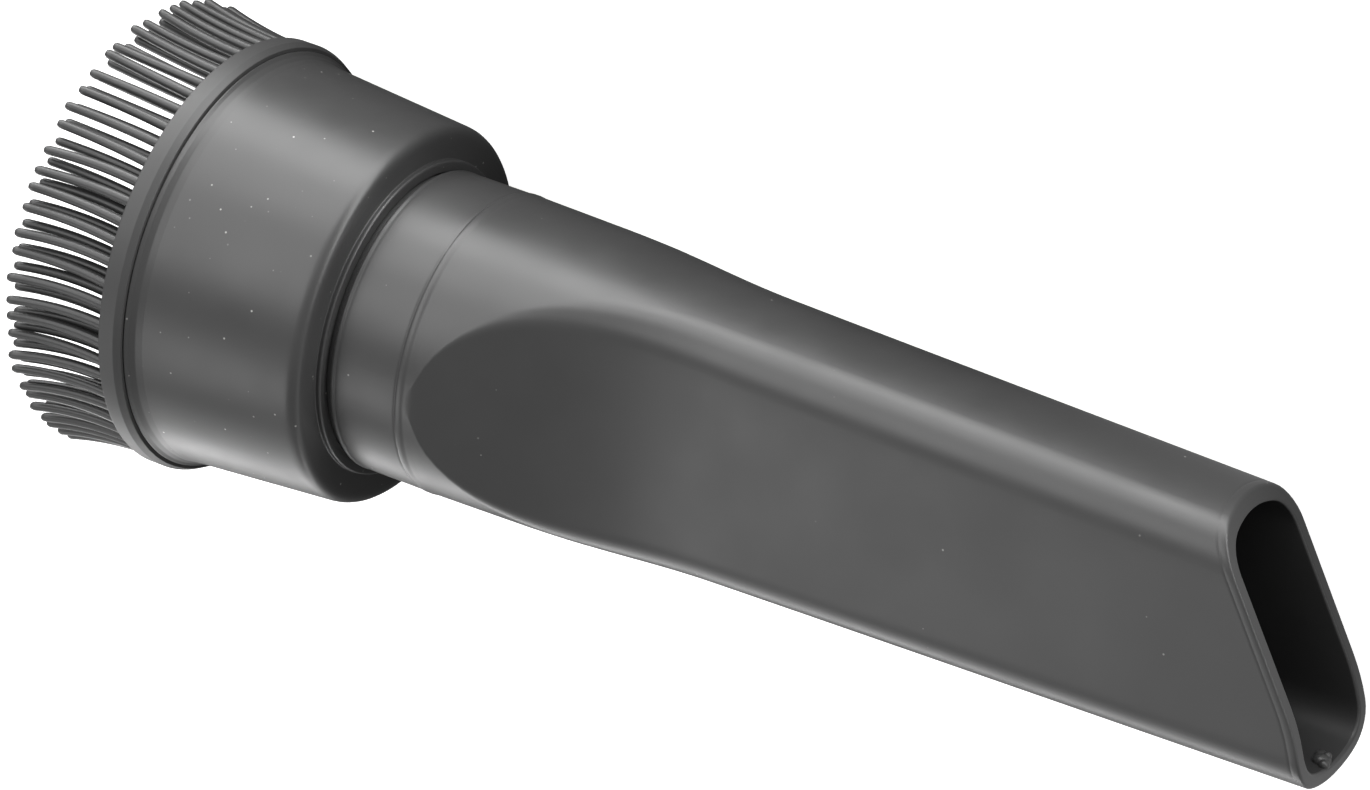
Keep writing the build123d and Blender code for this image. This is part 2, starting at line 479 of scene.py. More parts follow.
@dataclass
class CreviceNozzle:
    """Hollow moulding of sleeve, neck and flattened blade with a slanted mouth.

    Attributes:
        sizes: The tool's sizes.
        edge_start_r: Rounding of the flat face's edge where the face breaks out of the neck.
        edge_tip_r: The same rounding far along the blade.
        edge_growth: Length over which the rounding grows.
        break_soft: Height over which the face's first edge blends into the neck.
        tip_z: Half thickness at the mouth, where the moulding has swelled a little.
        tip_swell: How much wider the blade is at the mouth than its nominal size.
        lip_r: Rounding of the mouth's edges.
        waist_lead: How far before its nominal start the waist begins.
        flat_points, edge_points, side_points: Points over a quarter of a section.
        blade_rings, duct_rings: Rings between the waist and the mouth, outside and inside.
        lip_steps: Steps round each edge of the mouth.
        settle_rounds: Rounds in which a slanted ring settles on the mouth's slope.
        sleeve_round, sleeve_corner: Length and corner of the rounding at the sleeve's open end.
        ledge_round, ledge_corner: The same for the ledge that stops the wand.
        shoulder_bead: Outline of the bead on the neck's shoulder, as steps along and outwards.
        moulded_line: Outline of the fine line at the end of the neck, in the same way.
        mouth_crease: Outline of the crease behind the mouth, as steps back and inwards.
        duct_steps: Steps back from the mouth of the duct's first rings.
        vestige_lumps: Middle, radius and flatness of each lump of the moulding gate's stub.
    """

    sizes: ToolSizes
    edge_start_r: float = 0.9
    edge_tip_r: float = 5.8
    edge_growth: float = 14.0
    break_soft: float = 0.55
    tip_z: float = 9.25
    tip_swell: float = 0.15
    lip_r: float = 0.35
    waist_lead: float = 3.0
    flat_points: int = 10
    edge_points: int = 8
    side_points: int = 22
    blade_rings: int = 36
    duct_rings: int = 14
    lip_steps: int = 5
    settle_rounds: int = 14
    sleeve_round: float = 0.35
    sleeve_corner: float = 0.1
    ledge_round: float = 0.3
    ledge_corner: float = 0.05
    shoulder_bead: Sequence[tuple[float, float]] = (
        (0.0, -0.15), (0.03, -0.05), (0.12, 0.02), (0.3, 0.05), (0.5, 0.02), (0.65, -0.03),
        (0.85, 0.0), (1.2, 0.0))
    moulded_line: Sequence[tuple[float, float]] = (
        (-1.4, 0.0), (-1.2, -0.01), (-1.1, -0.05), (-1.0, -0.05), (-0.88, 0.045), (-0.7, 0.09),
        (-0.3, 0.09), (-0.05, 0.036), (0.15, -0.01))
    mouth_crease: Sequence[tuple[float, float]] = (
        (1.6, 0.0), (1.3, 0.0), (1.2, 0.03), (1.12, 0.03), (1.02, 0.0), (0.7, 0.0))
    duct_steps: Sequence[float] = (0.6, 0.9, 1.2, 1.5, 1.8, 2.2, 2.7, 3.4)
    vestige_lumps: Sequence[tuple[tuple[float, float, float], float, float]] = (
        ((155.3, -14.0, 0.2), 1.15, 0.75), ((156.0, -13.9, 1.1), 0.70, 0.9),
        ((154.7, -14.0, -0.9), 0.80, 0.7), ((155.7, -13.5, -0.3), 0.55, 1.0))
    finish: MouldedPolypropylene = MouldedPolypropylene("polypropylene_nozzle", clean_share=0.93)
    # The duct's darker colours are painted shade: the same plastic, darkened where shade falls inside the
    # hollow blade.
    painted_shade_duct_finish: MouldedPolypropylene = MouldedPolypropylene(
        "polypropylene_duct_with_painted_shade", colour="1c1c1c", worn_colour="242424", roughness=0.6,
        clean_share=0.99)

    def half_thickness(self, x: float) -> float:
        """Height of the flat face: a hollow arc that runs out into a straight taper.

        Args:
            x: Place along the tool.

        Returns:
            Half the thickness between the two flat faces.
        """
        s = self.sizes
        slope = (s.facet_root_z - self.tip_z) / (s.mouth_x - s.facet_run_x)
        if x >= s.facet_run_x:
            return s.facet_root_z - slope * (x - s.facet_run_x)
        normal = Vector((slope, 1.0)).normalized()
        root = Vector((s.facet_run_x, s.facet_root_z))
        start = Vector((s.facet_start_x, s.neck_r)) - root
        radius = start.length_squared / (2 * start.dot(normal))
        centre = root + normal * radius
        return centre.y - sqrt(max(radius ** 2 - (x - centre.x) ** 2, 0.0))

    def body_r(self, x: float) -> float:
        """Radius of the round body, slimmer by a soft waist where the flat face runs out.

        Args:
            x: Place along the tool.

        Returns:
            Radius from the tool's axis.
        """
        s = self.sizes
        if x <= s.line_x:
            return s.neck_r
        start_slope = (s.neck_r - s.waist_start_r) / (s.waist_start_x - s.line_x)
        end_slope = (s.waist_end_r - s.tip_r - self.tip_swell) / (s.mouth_x - s.waist_end_x)
        before = s.neck_r - start_slope * (x - s.line_x)
        after = s.waist_end_r - end_slope * (x - s.waist_end_x)
        waist_length = s.waist_end_x - s.waist_start_x + self.waist_lead
        share = smoothstep((x - s.waist_start_x + self.waist_lead) / waist_length)
        return before * (1 - share) + after * share

    def edge_r(self, x: float) -> float:
        """Rounding between the flat face and the round side, softer towards the mouth."""
        share = 1 - exp(-max(0.0, x - self.sizes.facet_start_x) / self.edge_growth)
        return self.edge_start_r + (self.edge_tip_r - self.edge_start_r) * share

    def breaks(self, x: float, inset: float) -> tuple[float, float, float, float, float, float]:
        """Find where the flat face and its rounding end in a section.

        Args:
            x: Place along the tool.
            inset: Distance inwards from the outer skin.

        Returns:
            Radius, half thickness, rounding, centre of the rounding across the blade, and the
            angles from the thickness axis at which the flat face and the rounding end.
        """
        radius = self.body_r(x) - inset
        flat = self.half_thickness(x) - inset
        blend = max(0.0, 1 - abs(flat - radius) / self.break_soft)
        flat = min(flat, radius) - self.break_soft * blend ** 2 / 4
        least_edge, most_share = 0.25, 0.9
        edge = min(max(self.edge_r(x) - inset, least_edge), most_share * flat)
        centre = sqrt(max((radius - edge) ** 2 - (flat - edge) ** 2, 0.0))
        return radius, flat, edge, centre, atan2(centre, flat), atan2(centre, flat - edge)

    def quarter(self, x: float, inset: float) -> list[tuple[float, float]]:
        """Points (y, z) of a quarter section, from the thickness axis to the width axis.

        Args:
            x: Place along the tool.
            inset: Distance inwards from the outer skin.

        Returns:
            Points over the flat face, its rounding and the round side.
        """
        radius, flat, edge, centre, flat_end, edge_end = self.breaks(x, inset)
        least_flat, least_edge = radians(5), radians(2)
        first = max(flat_end, least_flat)
        second = max(edge_end, first + least_edge)
        angles = [first * k / self.flat_points for k in range(self.flat_points)]
        angles += [first + (second - first) * k / self.edge_points for k in range(self.edge_points)]
        angles += [second + (pi / 2 - second) * k / self.side_points
                   for k in range(self.side_points + 1)]
        points = []
        for angle in angles:
            y, z = sin(angle), cos(angle)
            if angle <= flat_end:
                reach = flat / z
            elif angle < edge_end:
                along = centre * y + (flat - edge) * z
                aside = centre ** 2 + (flat - edge) ** 2 - along ** 2
                reach = along + sqrt(max(edge ** 2 - aside, 0.0))
            else:
                reach = radius
            points.append((reach * y, reach * z))
        return points

    def section(self, x: float, inset: float) -> list[tuple[float, float]]:
        """Points (y, z) all round a section.

        Args:
            x: Place along the tool.
            inset: Distance inwards from the outer skin.

        Returns:
            Points of the whole section, the quarter mirrored twice.
        """
        quarter = self.quarter(x, inset)
        right = quarter + [(y, -z) for y, z in reversed(quarter[:-1])]
        return right + [(-y, z) for y, z in reversed(right[1:-1])]

    def mouth(self, y: float) -> float:
        """Where the slanted mouth's plane, rounded at its long end, stands at y.

        Args:
            y: Place across the blade.

        Returns:
            Place along the tool.
        """
        s = self.sizes
        beyond = max(0.0, -y - s.mouth_round_y) / (s.tip_r - s.mouth_round_y)
        return s.mouth_x - s.mouth_slant * y - s.mouth_round_drop * beyond ** 2

    def ring(self, x: float, inset: float) -> list[Vector]:
        """Row-frame points of the section at x."""
        attitude = self.sizes.attitude
        return [attitude.place(x, y, z) for y, z in self.section(x, inset)]

    def round_ring(self, x: float, r: float) -> list[Vector]:
        """Row-frame points of a round section at x.

        Args:
            x: Place along the tool.
            r: Radius of the section.

        Returns:
            Points at the angles that a flattened section has as well.
        """
        attitude = self.sizes.attitude
        points = self.section(self.sizes.line_x, 0.0)
        return [attitude.place(x, y * r / hypot(y, z), z * r / hypot(y, z)) for y, z in points]

    def slanted_ring(self, back: float, inset: float, share: float = 1.0) -> list[Vector]:
        """Row-frame points of a ring that follows the mouth.

        Args:
            back: Distance behind the mouth's plane.
            inset: Distance inwards from the outer skin.
            share: How far along from the straight rings to the mouth it lies.

        Returns:
            Points of the ring.
        """
        s = self.sizes
        points = []
        for j in range(len(self.section(s.mouth_x, inset))):
            x = s.mouth_x
            for _ in range(self.settle_rounds):
                y, _z = self.section(x, inset)[j]
                x = s.waist_end_x + (self.mouth(y) - back - s.waist_end_x) * share
            points.append(s.attitude.place(x, *self.section(x, inset)[j]))
        return points

    def stops(self) -> list[float]:
        """Places of the straight rings, closest together where the flat face breaks out.

        Returns:
            Places along the tool, from the moulded line to the end of the waist.
        """
        s = self.sizes
        after_line, first_gap, ring_gap, last_gap = (0.35, 0.8), 0.13, 1.2, 1.3
        places = [s.line_x + step for step in after_line]
        places += [s.facet_start_x + first_gap * k * k for k in range(8)]
        while places[-1] < s.waist_end_x - last_gap:
            places.append(places[-1] + ring_gap)
        return places

    def outer_rings(self) -> list[list[Vector]]:
        """Rings of the outer skin, from the sleeve over the blade and round the mouth's lip.

        Returns:
            Rings in order, the last one just inside the mouth.
        """
        s = self.sizes
        end, corner, middle = self.sleeve_round, self.sleeve_corner, 14.0
        sleeve = [(0.0, s.bore_r + end), (0.0, s.sleeve_r - end), (corner, s.sleeve_r - corner),
                  (end, s.sleeve_r), (1.0, s.sleeve_r), (middle, s.sleeve_r),
                  (s.shoulder_x - 0.3, s.sleeve_r), (s.shoulder_x, s.sleeve_r)]
        sleeve += [(s.shoulder_x + step, s.neck_r + rise) for step, rise in self.shoulder_bead]
        sleeve += [(s.line_x + step, s.neck_r + rise) for step, rise in self.moulded_line]
        rings = [self.round_ring(x, r) for x, r in sleeve]
        rings += [self.ring(x, 0.0) for x in self.stops()]
        rings += [self.slanted_ring(0.0, 0.0, k / self.blade_rings) for k in range(self.blade_rings)]
        rings += [self.slanted_ring(back, inset) for back, inset in self.mouth_crease]
        turns = [pi / 2 * k / self.lip_steps for k in range(self.lip_steps + 1)]
        lip = [(self.lip_r * (1 - sin(a)), self.lip_r * (1 - cos(a))) for a in turns]
        flat = 1.5 * self.lip_r
        rings += [self.slanted_ring(back, inset) for back, inset in lip]
        rings += [self.slanted_ring(0.0, inset) for inset in (flat, s.blade_wall - flat)]
        rings += [self.slanted_ring(back, s.blade_wall - inset) for back, inset in reversed(lip)]
        return rings

    def inner_rings(self) -> list[list[Vector]]:
        """Rings of the inner skin, from the mouth back through the duct and the wand socket.

        Returns:
            Rings in order, the last one at the sleeve's open end.
        """
        s = self.sizes
        rings = [self.slanted_ring(back, s.blade_wall) for back in self.duct_steps]
        rings += [self.slanted_ring(0.0, s.blade_wall, k / self.duct_rings)
                  for k in range(self.duct_rings - 1, -1, -1)]
        rings += [self.ring(x, s.blade_wall) for x in reversed(self.stops()[::3])]
        ledge_r = s.bore_r - s.stop_step
        soft, sharp, middle = self.ledge_round, self.ledge_corner, 16.0
        bore = [(s.line_x, s.neck_r - s.blade_wall), (s.socket_depth + soft, ledge_r),
                (s.socket_depth + sharp, ledge_r + sharp), (s.socket_depth, ledge_r + soft),
                (s.socket_depth, s.bore_r - sharp), (s.socket_depth - 0.2, s.bore_r),
                (middle, s.bore_r), (1.0, s.bore_r), (self.sleeve_round, s.bore_r),
                (self.sleeve_corner, s.bore_r + self.sleeve_corner)]
        return rings + [self.round_ring(x, r) for x, r in bore]

    def add_vestige(self, piece: bpy.types.Object) -> None:
        """Leave the rough stub of the moulding gate inside the long end of the mouth.

        Args:
            piece: The nozzle, whose mesh takes the stub.
        """
        form = bmesh.new()
        form.from_mesh(piece.data)
        attitude = self.sizes.attitude
        for (x, y, z), radius, flatness in self.vestige_lumps:
            spot = Matrix.Translation(attitude.place(x, y, z)) @ attitude.matrix.to_4x4()
            spot = spot @ Matrix.Diagonal((1.0, flatness, 1.0, 1.0))
            lump = bmesh.ops.create_icosphere(form, subdivisions=3, radius=radius * MM, matrix=spot)
            for vertex in lump["verts"]:
                for face in vertex.link_faces:
                    face.smooth = True
        form.to_mesh(piece.data)
        form.free()

    def build(self) -> bpy.types.Object:
        """Build and dress the nozzle.

        Returns:
            The piece, which stands for the solid nozzle.
        """
        outside = self.outer_rings()
        rings = outside + self.inner_rings()
        piece = closed_skin("nozzle_moulding", rings, range(len(outside) - 1, len(rings)))
        piece.data.materials.append(self.finish.build())
        # The second material, on the duct, darkens it with painted shade.
        piece.data.materials.append(self.painted_shade_duct_finish.build())
        self.add_vestige(piece)
        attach(piece, "root")
        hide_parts("crevice_nozzle")
        return piece


@dataclass
class BrushCollar:
    """Collar of the brush head, turned about the tool's axis.

    Attributes:
        sizes: The tool's sizes.
        end_round: Rounding between the shell and the end face.
        shell_x: Where the shell's cone starts.
        cone_support: How far back from the end face a support corner stands on the cone.
        cove: Corners of the cove from the shell up to the flange, each with its place, its step
            out from the shell and its rounding.
        joint_gap: Gap between the flange and the soft band.
        flange_drop: How far the flange's corner stays below its nominal radius.
        shell_step: Height of the step inside the shell at the band.
        segments: Steps round the axis.
        finish: The collar's finish.
    """

    sizes: ToolSizes
    end_round: float = 1.6
    shell_x: float = 4.6
    cone_support: float = 8.0
    cove: Sequence[tuple[float, float, float]] = ((5.3, -0.05, 0.9), (4.3, 0.12, 0.8),
                                                  (3.65, 0.5, 0.6))
    joint_gap: float = 0.05
    flange_drop: float = 0.28
    shell_step: float = 0.3
    segments: int = 256
    finish: MouldedPolypropylene = MouldedPolypropylene("polypropylene_collar")

    def outline(self) -> list[Corner]:
        """Corners of the collar's section, from the hub's lip round the shell.

        Returns:
            Corners in order, each with its rounding.
        """
        s = self.sizes
        joint = s.band_width + self.joint_gap
        taper = s.collar_taper / (s.collar_length - self.shell_x)
        web_x = s.collar_length - s.web_thickness
        web_r = s.collar_end_r + s.web_thickness * taper - s.collar_wall
        return [Corner(s.lip_x, s.hub_bore_r, 0.2), Corner(s.lip_x, s.lip_r, 0.3),
                Corner(s.collar_length, s.lip_r, 0.15),
                Corner(s.collar_length, s.collar_end_r, self.end_round),
                Corner(s.collar_length - self.cone_support,
                       s.collar_end_r + self.cone_support * taper, 0.5),
                *(Corner(x, s.collar_root_r + rise, bend) for x, rise, bend in self.cove),
                Corner(joint, s.flange_r - self.flange_drop, 0.12),
                Corner(joint, s.shell_inner_r + self.shell_step, 0.1),
                Corner(joint, s.shell_inner_r, 0.1), Corner(web_x, web_r, 0.5),
                Corner(web_x, s.hub_r, 0.4), Corner(s.band_width, s.hub_r, 0.3),
                Corner(s.band_width, s.hub_bore_r, 0.3)]

    def build(self) -> bpy.types.Object:
        """Build and dress the collar.

        Returns:
            The piece, which stands for the solid brush body.
        """
        piece = turned_skin("brush_collar", self.sizes.attitude, rounded_outline(self.outline(), 6),
                            self.segments)
        piece.data.materials.append(self.finish.build())
        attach(piece, "root")
        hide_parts("brush_body")
        return piece


@dataclass(frozen=True)
class SoftElastomer:
    """Charcoal thermoplastic elastomer, moulded smooth, as bristles and their band are.

    It gives the eye narrow lengthwise glints on the bristles and a dull, even band.
    """

    name: str
    colour: str = "323232"
    patch_colour: str = "3c3c3c"
    patch_mm: float = 6.0
    roughness: float = 0.48
    skin_mm: float = 0.5
    skin_depth_mm: float = 0.015

    def build(self) -> bpy.types.Material:
        """Build the material.

        Returns:
            A node material that reads Object coordinates only.
        """
        material = bpy.data.materials.new(self.name)
        material.use_nodes = True
        tree = material.node_tree
        tree.nodes.clear()
        coords = add_node(tree, "ShaderNodeTexCoord").outputs["Object"]
        skin = add_node(tree, "ShaderNodeTexNoise", {"Vector": coords, "Scale": 1 / (self.skin_mm * MM),
                                                     "Detail": 3.0, "Roughness": 0.6})
        patch = add_node(tree, "ShaderNodeTexNoise", {"Vector": coords, "Scale": 1 / (self.patch_mm * MM),
                                                      "Detail": 2.0})
        tone = add_node(tree, "ShaderNodeMix", {"Factor": patch.outputs["Fac"], "A": srgb(self.colour),
                                                "B": srgb(self.patch_colour)}, data_type="RGBA")
        bump = add_node(tree, "ShaderNodeBump", {"Height": skin.outputs["Fac"], "Strength": 0.3,
                                                 "Distance": self.skin_depth_mm * MM})
        shader = add_node(tree, "ShaderNodeBsdfPrincipled",
                          {"Base Color": tone.outputs["Result"], "Roughness": self.roughness,
                           "IOR": 1.5, "Normal": bump.outputs["Normal"]})
        add_node(tree, "ShaderNodeOutputMaterial", {"Surface": shader.outputs["BSDF"]})
        return material


@dataclass
class SoftBrush:
    """Soft band of the brush head with its two staggered rows of bristles.

    Attributes:
        sizes: The tool's sizes.
        row_gap: Distance from the outer row to the inner one.
        per_row: Bristles in each row.
        inner_turn: Share of the pitch by which the inner row is turned.
        length, root_d, tip_d: Sizes of one bristle.
        steps_along, steps_round: Points of its middle line and of its section.
        sink: How deep its root is buried in the band.
        bow: How far a bristle bows sideways from a straight line.
        flare: How far its tip stands out beyond its root.
        dome_start: Share of the length at which the tip starts to round off.
        dome_end: How far the rounding goes, where 1 is a point.
        stray: Most that a root strays along its row, as a share of the pitch.
        twist, nod, sway: Most that a bristle turns about each axis, in radians.
        shortest: Least share of the full length.
        thinnest, thickest: Range of its width, as shares.
        seed: Seed of everything that differs from bristle to bristle.
        segments: Steps of the band round the axis.
        band_finish, bristle_finish: Their finishes.
    """

    sizes: ToolSizes
    row_gap: float = 1.5
    per_row: int = 64
    inner_turn: float = 0.32
    length: float = 13.7
    root_d: float = 1.4
    tip_d: float = 1.2
    steps_along: int = 44
    steps_round: int = 8
    sink: float = 0.5
    bow: float = 0.4
    flare: float = 1.7
    dome_start: float = 0.955
    dome_end: float = 0.78
    stray: float = 0.10
    twist: float = 0.3
    nod: float = 0.02
    sway: float = 0.03
    shortest: float = 0.955
    thinnest: float = 0.95
    thickest: float = 1.04
    seed: int = 7
    segments: int = 256
    band_finish: SoftElastomer = SoftElastomer("elastomer_band", roughness=0.5)
    bristle_finish: SoftElastomer = SoftElastomer("elastomer_bristles", roughness=0.4)

    def band_outline(self) -> list[Corner]:
        """Corners of the band's section, which stays a hair short of the collar.

        Returns:
            Corners in order, each with its rounding.
        """
        s = self.sizes
        hair = 0.05
        return [Corner(0.0, s.band_inner_r, 0.3), Corner(0.0, s.rim_r, 0.18),
                Corner(s.rim_width, s.rim_r, 0.3),
                Corner(s.band_width - hair, s.flange_r + hair, 0.12),
                Corner(s.band_width - hair, s.band_inner_r, 0.2)]

    def row(self, tree: bpy.types.NodeTree, sockets: dict[str, bpy.types.NodeSocket],
            row_r: bpy.types.NodeSocket, offset: float, seed_step: int) -> bpy.types.NodeSocket:
        """Add the nodes of one row of bristles.

        Args:
            tree: The bristles' tree.
            sockets: The tree's named inputs.
            row_r: Radius of the row.
            offset: Share of the pitch by which the row is turned.
            seed_step: Added to the seed, so that rows differ.

        Returns:
            The row's instances.
        """
        def math(kind: str, *values: float | bpy.types.NodeSocket) -> bpy.types.NodeSocket:
            """Add one step of arithmetic."""
            return add_node(tree, "ShaderNodeMath", dict(enumerate(values)), operation=kind).outputs[0]

        def vary(low: float, high: float, step: int) -> bpy.types.NodeSocket:
            """Add a value that differs from bristle to bristle, its step added to the seed."""
            seed = math("ADD", sockets["Seed"], 10 * seed_step + step)
            node = add_node(tree, "FunctionNodeRandomValue", {"Seed": seed}, data_type="FLOAT")
            node.inputs[2].default_value = low
            node.inputs[3].default_value = high
            return node.outputs[1]

        line = add_node(tree, "GeometryNodeCurveQuadraticBezier", {"Resolution": self.steps_along})
        half = math("MULTIPLY", sockets["Length"], -0.5)
        tip = math("MULTIPLY", sockets["Length"], -1.0)
        bow = add_node(tree, "ShaderNodeCombineXYZ", {"X": half, "Y": sockets["Bow"], "Z": 0.0})
        end = add_node(tree, "ShaderNodeCombineXYZ", {"X": tip, "Y": 0.0, "Z": sockets["Flare"]})
        line.inputs["Start"].default_value = (self.sink * MM, 0.0, 0.0)
        tree.links.new(bow.outputs[0], line.inputs["Middle"])
        tree.links.new(end.outputs[0], line.inputs["End"])
        along = add_node(tree, "GeometryNodeSplineParameter").outputs["Factor"]
        taper = add_node(tree, "ShaderNodeMapRange", {"Value": along, "To Min": sockets["Root radius"],
                                                      "To Max": sockets["Tip radius"]})
        nose = add_node(tree, "ShaderNodeMapRange",
                        {"Value": along, "From Min": self.dome_start, "From Max": 1.0, "To Min": 0.0,
                         "To Max": self.dome_end})
        dome = math("SQRT", math("SUBTRACT", 1.0, math("POWER", nose.outputs["Result"], 2.0)))
        radius = math("MULTIPLY", taper.outputs["Result"], dome)
        circle = add_node(tree, "GeometryNodeCurvePrimitiveCircle", {"Resolution": self.steps_round,
                                                                     "Radius": 1.0})
        solid = add_node(tree, "GeometryNodeCurveToMesh",
                         {"Curve": line.outputs[0], "Profile Curve": circle.outputs[0],
                          "Scale": radius, "Fill Caps": True})
        smooth = add_node(tree, "GeometryNodeSetShadeSmooth", {0: solid.outputs[0]})
        index = add_node(tree, "GeometryNodeInputIndex").outputs[0]
        jitter = vary(-self.stray, self.stray, 1)
        place = math("ADD", math("ADD", index, offset), jitter)
        turn = math("MULTIPLY", math("DIVIDE", place, sockets["Bristles per row"]), 2 * pi)
        y = math("MULTIPLY", row_r, math("SINE", turn))
        z = math("MULTIPLY", row_r, math("COSINE", turn))
        root = add_node(tree, "ShaderNodeCombineXYZ", {"X": 0.0, "Y": y, "Z": z})
        roots = add_node(tree, "GeometryNodePoints", {"Count": sockets["Bristles per row"],
                                                      "Position": root.outputs[0]})
        twist = math("ADD", math("MULTIPLY", turn, -1.0), vary(-self.twist, self.twist, 2))
        tilt = add_node(tree, "ShaderNodeCombineXYZ", {"X": twist, "Y": vary(-self.nod, self.nod, 3),
                                                       "Z": vary(-self.sway, self.sway, 4)})
        size = add_node(tree, "ShaderNodeCombineXYZ",
                        {"X": vary(self.shortest, 1.0, 5), "Y": vary(self.thinnest, self.thickest, 6),
                         "Z": 1.0})
        return add_node(tree, "GeometryNodeInstanceOnPoints",
                        {"Points": roots.outputs[0], "Instance": smooth.outputs[0],
                         "Rotation": tilt.outputs[0], "Scale": size.outputs[0]}).outputs[0]

    def bristle_tree(self, finish: bpy.types.Material) -> bpy.types.NodeTree:
        """Build the Geometry Nodes tree that grows both rows.

        Args:
            finish: What the bristles wear.

        Returns:
            The tree, with its sizes as named inputs.
        """
        tree = bpy.data.node_groups.new("bristle_rows", "GeometryNodeTree")
        tree.interface.new_socket("Geometry", in_out="OUTPUT", socket_type="NodeSocketGeometry")
        for name in ("Outer row radius", "Inner row radius", "Length", "Root radius", "Tip radius",
                     "Bow", "Flare"):
            tree.interface.new_socket(name, in_out="INPUT", socket_type="NodeSocketFloat")
        for name in ("Bristles per row", "Seed"):
            tree.interface.new_socket(name, in_out="INPUT", socket_type="NodeSocketInt")
        entry = add_node(tree, "NodeGroupInput")
        sockets = {socket.name: socket for socket in entry.outputs if socket.name}
        outer = self.row(tree, sockets, sockets["Outer row radius"], 0.0, 1)
        inner = self.row(tree, sockets, sockets["Inner row radius"], self.inner_turn, 2)
        both = add_node(tree, "GeometryNodeJoinGeometry")
        tree.links.new(outer, both.inputs[0])
        tree.links.new(inner, both.inputs[0])
        real = add_node(tree, "GeometryNodeRealizeInstances", {0: both.outputs[0]})
        dressed = add_node(tree, "GeometryNodeSetMaterial", {"Geometry": real.outputs[0],
                                                             "Material": finish})
        leave = add_node(tree, "NodeGroupOutput")
        tree.links.new(dressed.outputs[0], leave.inputs[0])
        return tree

    def build_bristles(self) -> bpy.types.Object:
        """Grow the bristles and turn the result into a plain mesh.

        Returns:
            The bristles, at the origin.
        """
        finish = self.bristle_finish.build()
        tree = self.bristle_tree(finish)
        grower = bpy.data.objects.new("bristle_grower", bpy.data.meshes.new("bristle_grower"))
        bpy.context.scene.collection.objects.link(grower)
        modifier = grower.modifiers.new("bristle_rows", "NODES")
        modifier.node_group = tree
        outer_row_r = self.sizes.outer_row_r
        control = 2 * self.bow      # the curve passes its middle handle at half that distance
        values = {"Outer row radius": outer_row_r * MM, "Length": self.length * MM,
                  "Inner row radius": (outer_row_r - self.row_gap) * MM,
                  "Root radius": self.root_d * MM / 2, "Tip radius": self.tip_d * MM / 2,
                  "Bow": control * MM, "Flare": self.flare * MM,
                  "Bristles per row": self.per_row, "Seed": self.seed}
        for item in tree.interface.items_tree:
            if item.in_out == "INPUT":
                modifier[item.identifier] = values[item.name]
        shape = grower.evaluated_get(bpy.context.evaluated_depsgraph_get())
        mesh = bpy.data.meshes.new_from_object(shape)
        bpy.data.objects.remove(grower)
        mesh.transform(self.sizes.attitude.matrix.to_4x4())
        mesh.name = "brush_bristles"
        piece = bpy.data.objects.new("brush_bristles", mesh)
        bpy.context.scene.collection.objects.link(piece)
        return piece

    def build(self) -> list[bpy.types.Object]:
        """Build and dress the band and its bristles.

        Returns:
            Both pieces, which stand for the solid bristle ring.
        """
        band = turned_skin("brush_band", self.sizes.attitude, rounded_outline(self.band_outline()),
                           self.segments)
        band.data.materials.append(self.band_finish.build())
        bristles = self.build_bristles()
        for piece in (band, bristles):
            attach(piece, "root")
            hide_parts("bristle_ring")
        return [band, bristles]


@dataclass(frozen=True)
class Photograph:
    """Camera of the photograph, in millimetres and degrees.

    Attributes:
        focal_px: Focal length in pixels of the photograph.
        slope_deg: Slope of the tool's axis across the picture, falling to the right.
        lean_deg: How far the tip leans towards the camera.
        turn_deg: Turn of the blade about its own axis.
        collar_px: Picture offset, from its centre, of the middle of the collar's end face.
        distance: From the camera to the middle of the collar's end face, along the view.
    """

    focal_px: float = 6000.0
    slope_deg: float = 19.89
    lean_deg: float = 25.22
    turn_deg: float = 111.5
    collar_px: tuple[float, float] = (-276.1, -78.3)
    distance: float = 742.6

    def build(self, sizes: ToolSizes) -> bpy.types.Object:
        """Make the camera and give it to the scene.

        Args:
            sizes: The tool's sizes, for its attitude and the place of the collar.

        Returns:
            The camera object.
        """
        slope, lean, turn = (radians(v) for v in (self.slope_deg, self.lean_deg, self.turn_deg))
        along = Vector((cos(lean) * cos(slope), cos(lean) * sin(slope), -sin(lean)))
        side = along.cross(Vector((0, 1, 0))).normalized()
        other = along.cross(side)
        across = cos(turn) * side + sin(turn) * other
        through = along.cross(across)
        picture_from_tool = Matrix((along, across, through)).transposed()
        blender_from_picture = Matrix(((1, 0, 0), (0, -1, 0), (0, 0, -1)))
        tool_from_camera = (blender_from_picture @ picture_from_tool).transposed()
        collar = Vector((self.collar_px[0], self.collar_px[1], self.focal_px))
        collar = collar * (self.distance / self.focal_px)
        eye = Vector((sizes.collar_length, 0, 0)) - picture_from_tool.transposed() @ collar
        data = bpy.data.cameras.new("photo_camera")
        data.sensor_width = 36.0
        data.lens = self.focal_px * data.sensor_width / PHOTO_WIDTH_PX
        data.clip_start, data.clip_end = 0.01, 20.0
        camera = bpy.data.objects.new("photo_camera", data)
        bpy.context.scene.collection.objects.link(camera)
        attitude = sizes.attitude
        turn_matrix = (attitude.matrix @ tool_from_camera).to_4x4()
        camera.matrix_world = Matrix.Translation(attitude.place(*eye)) @ turn_matrix
        bpy.context.scene.camera = camera
        return camera


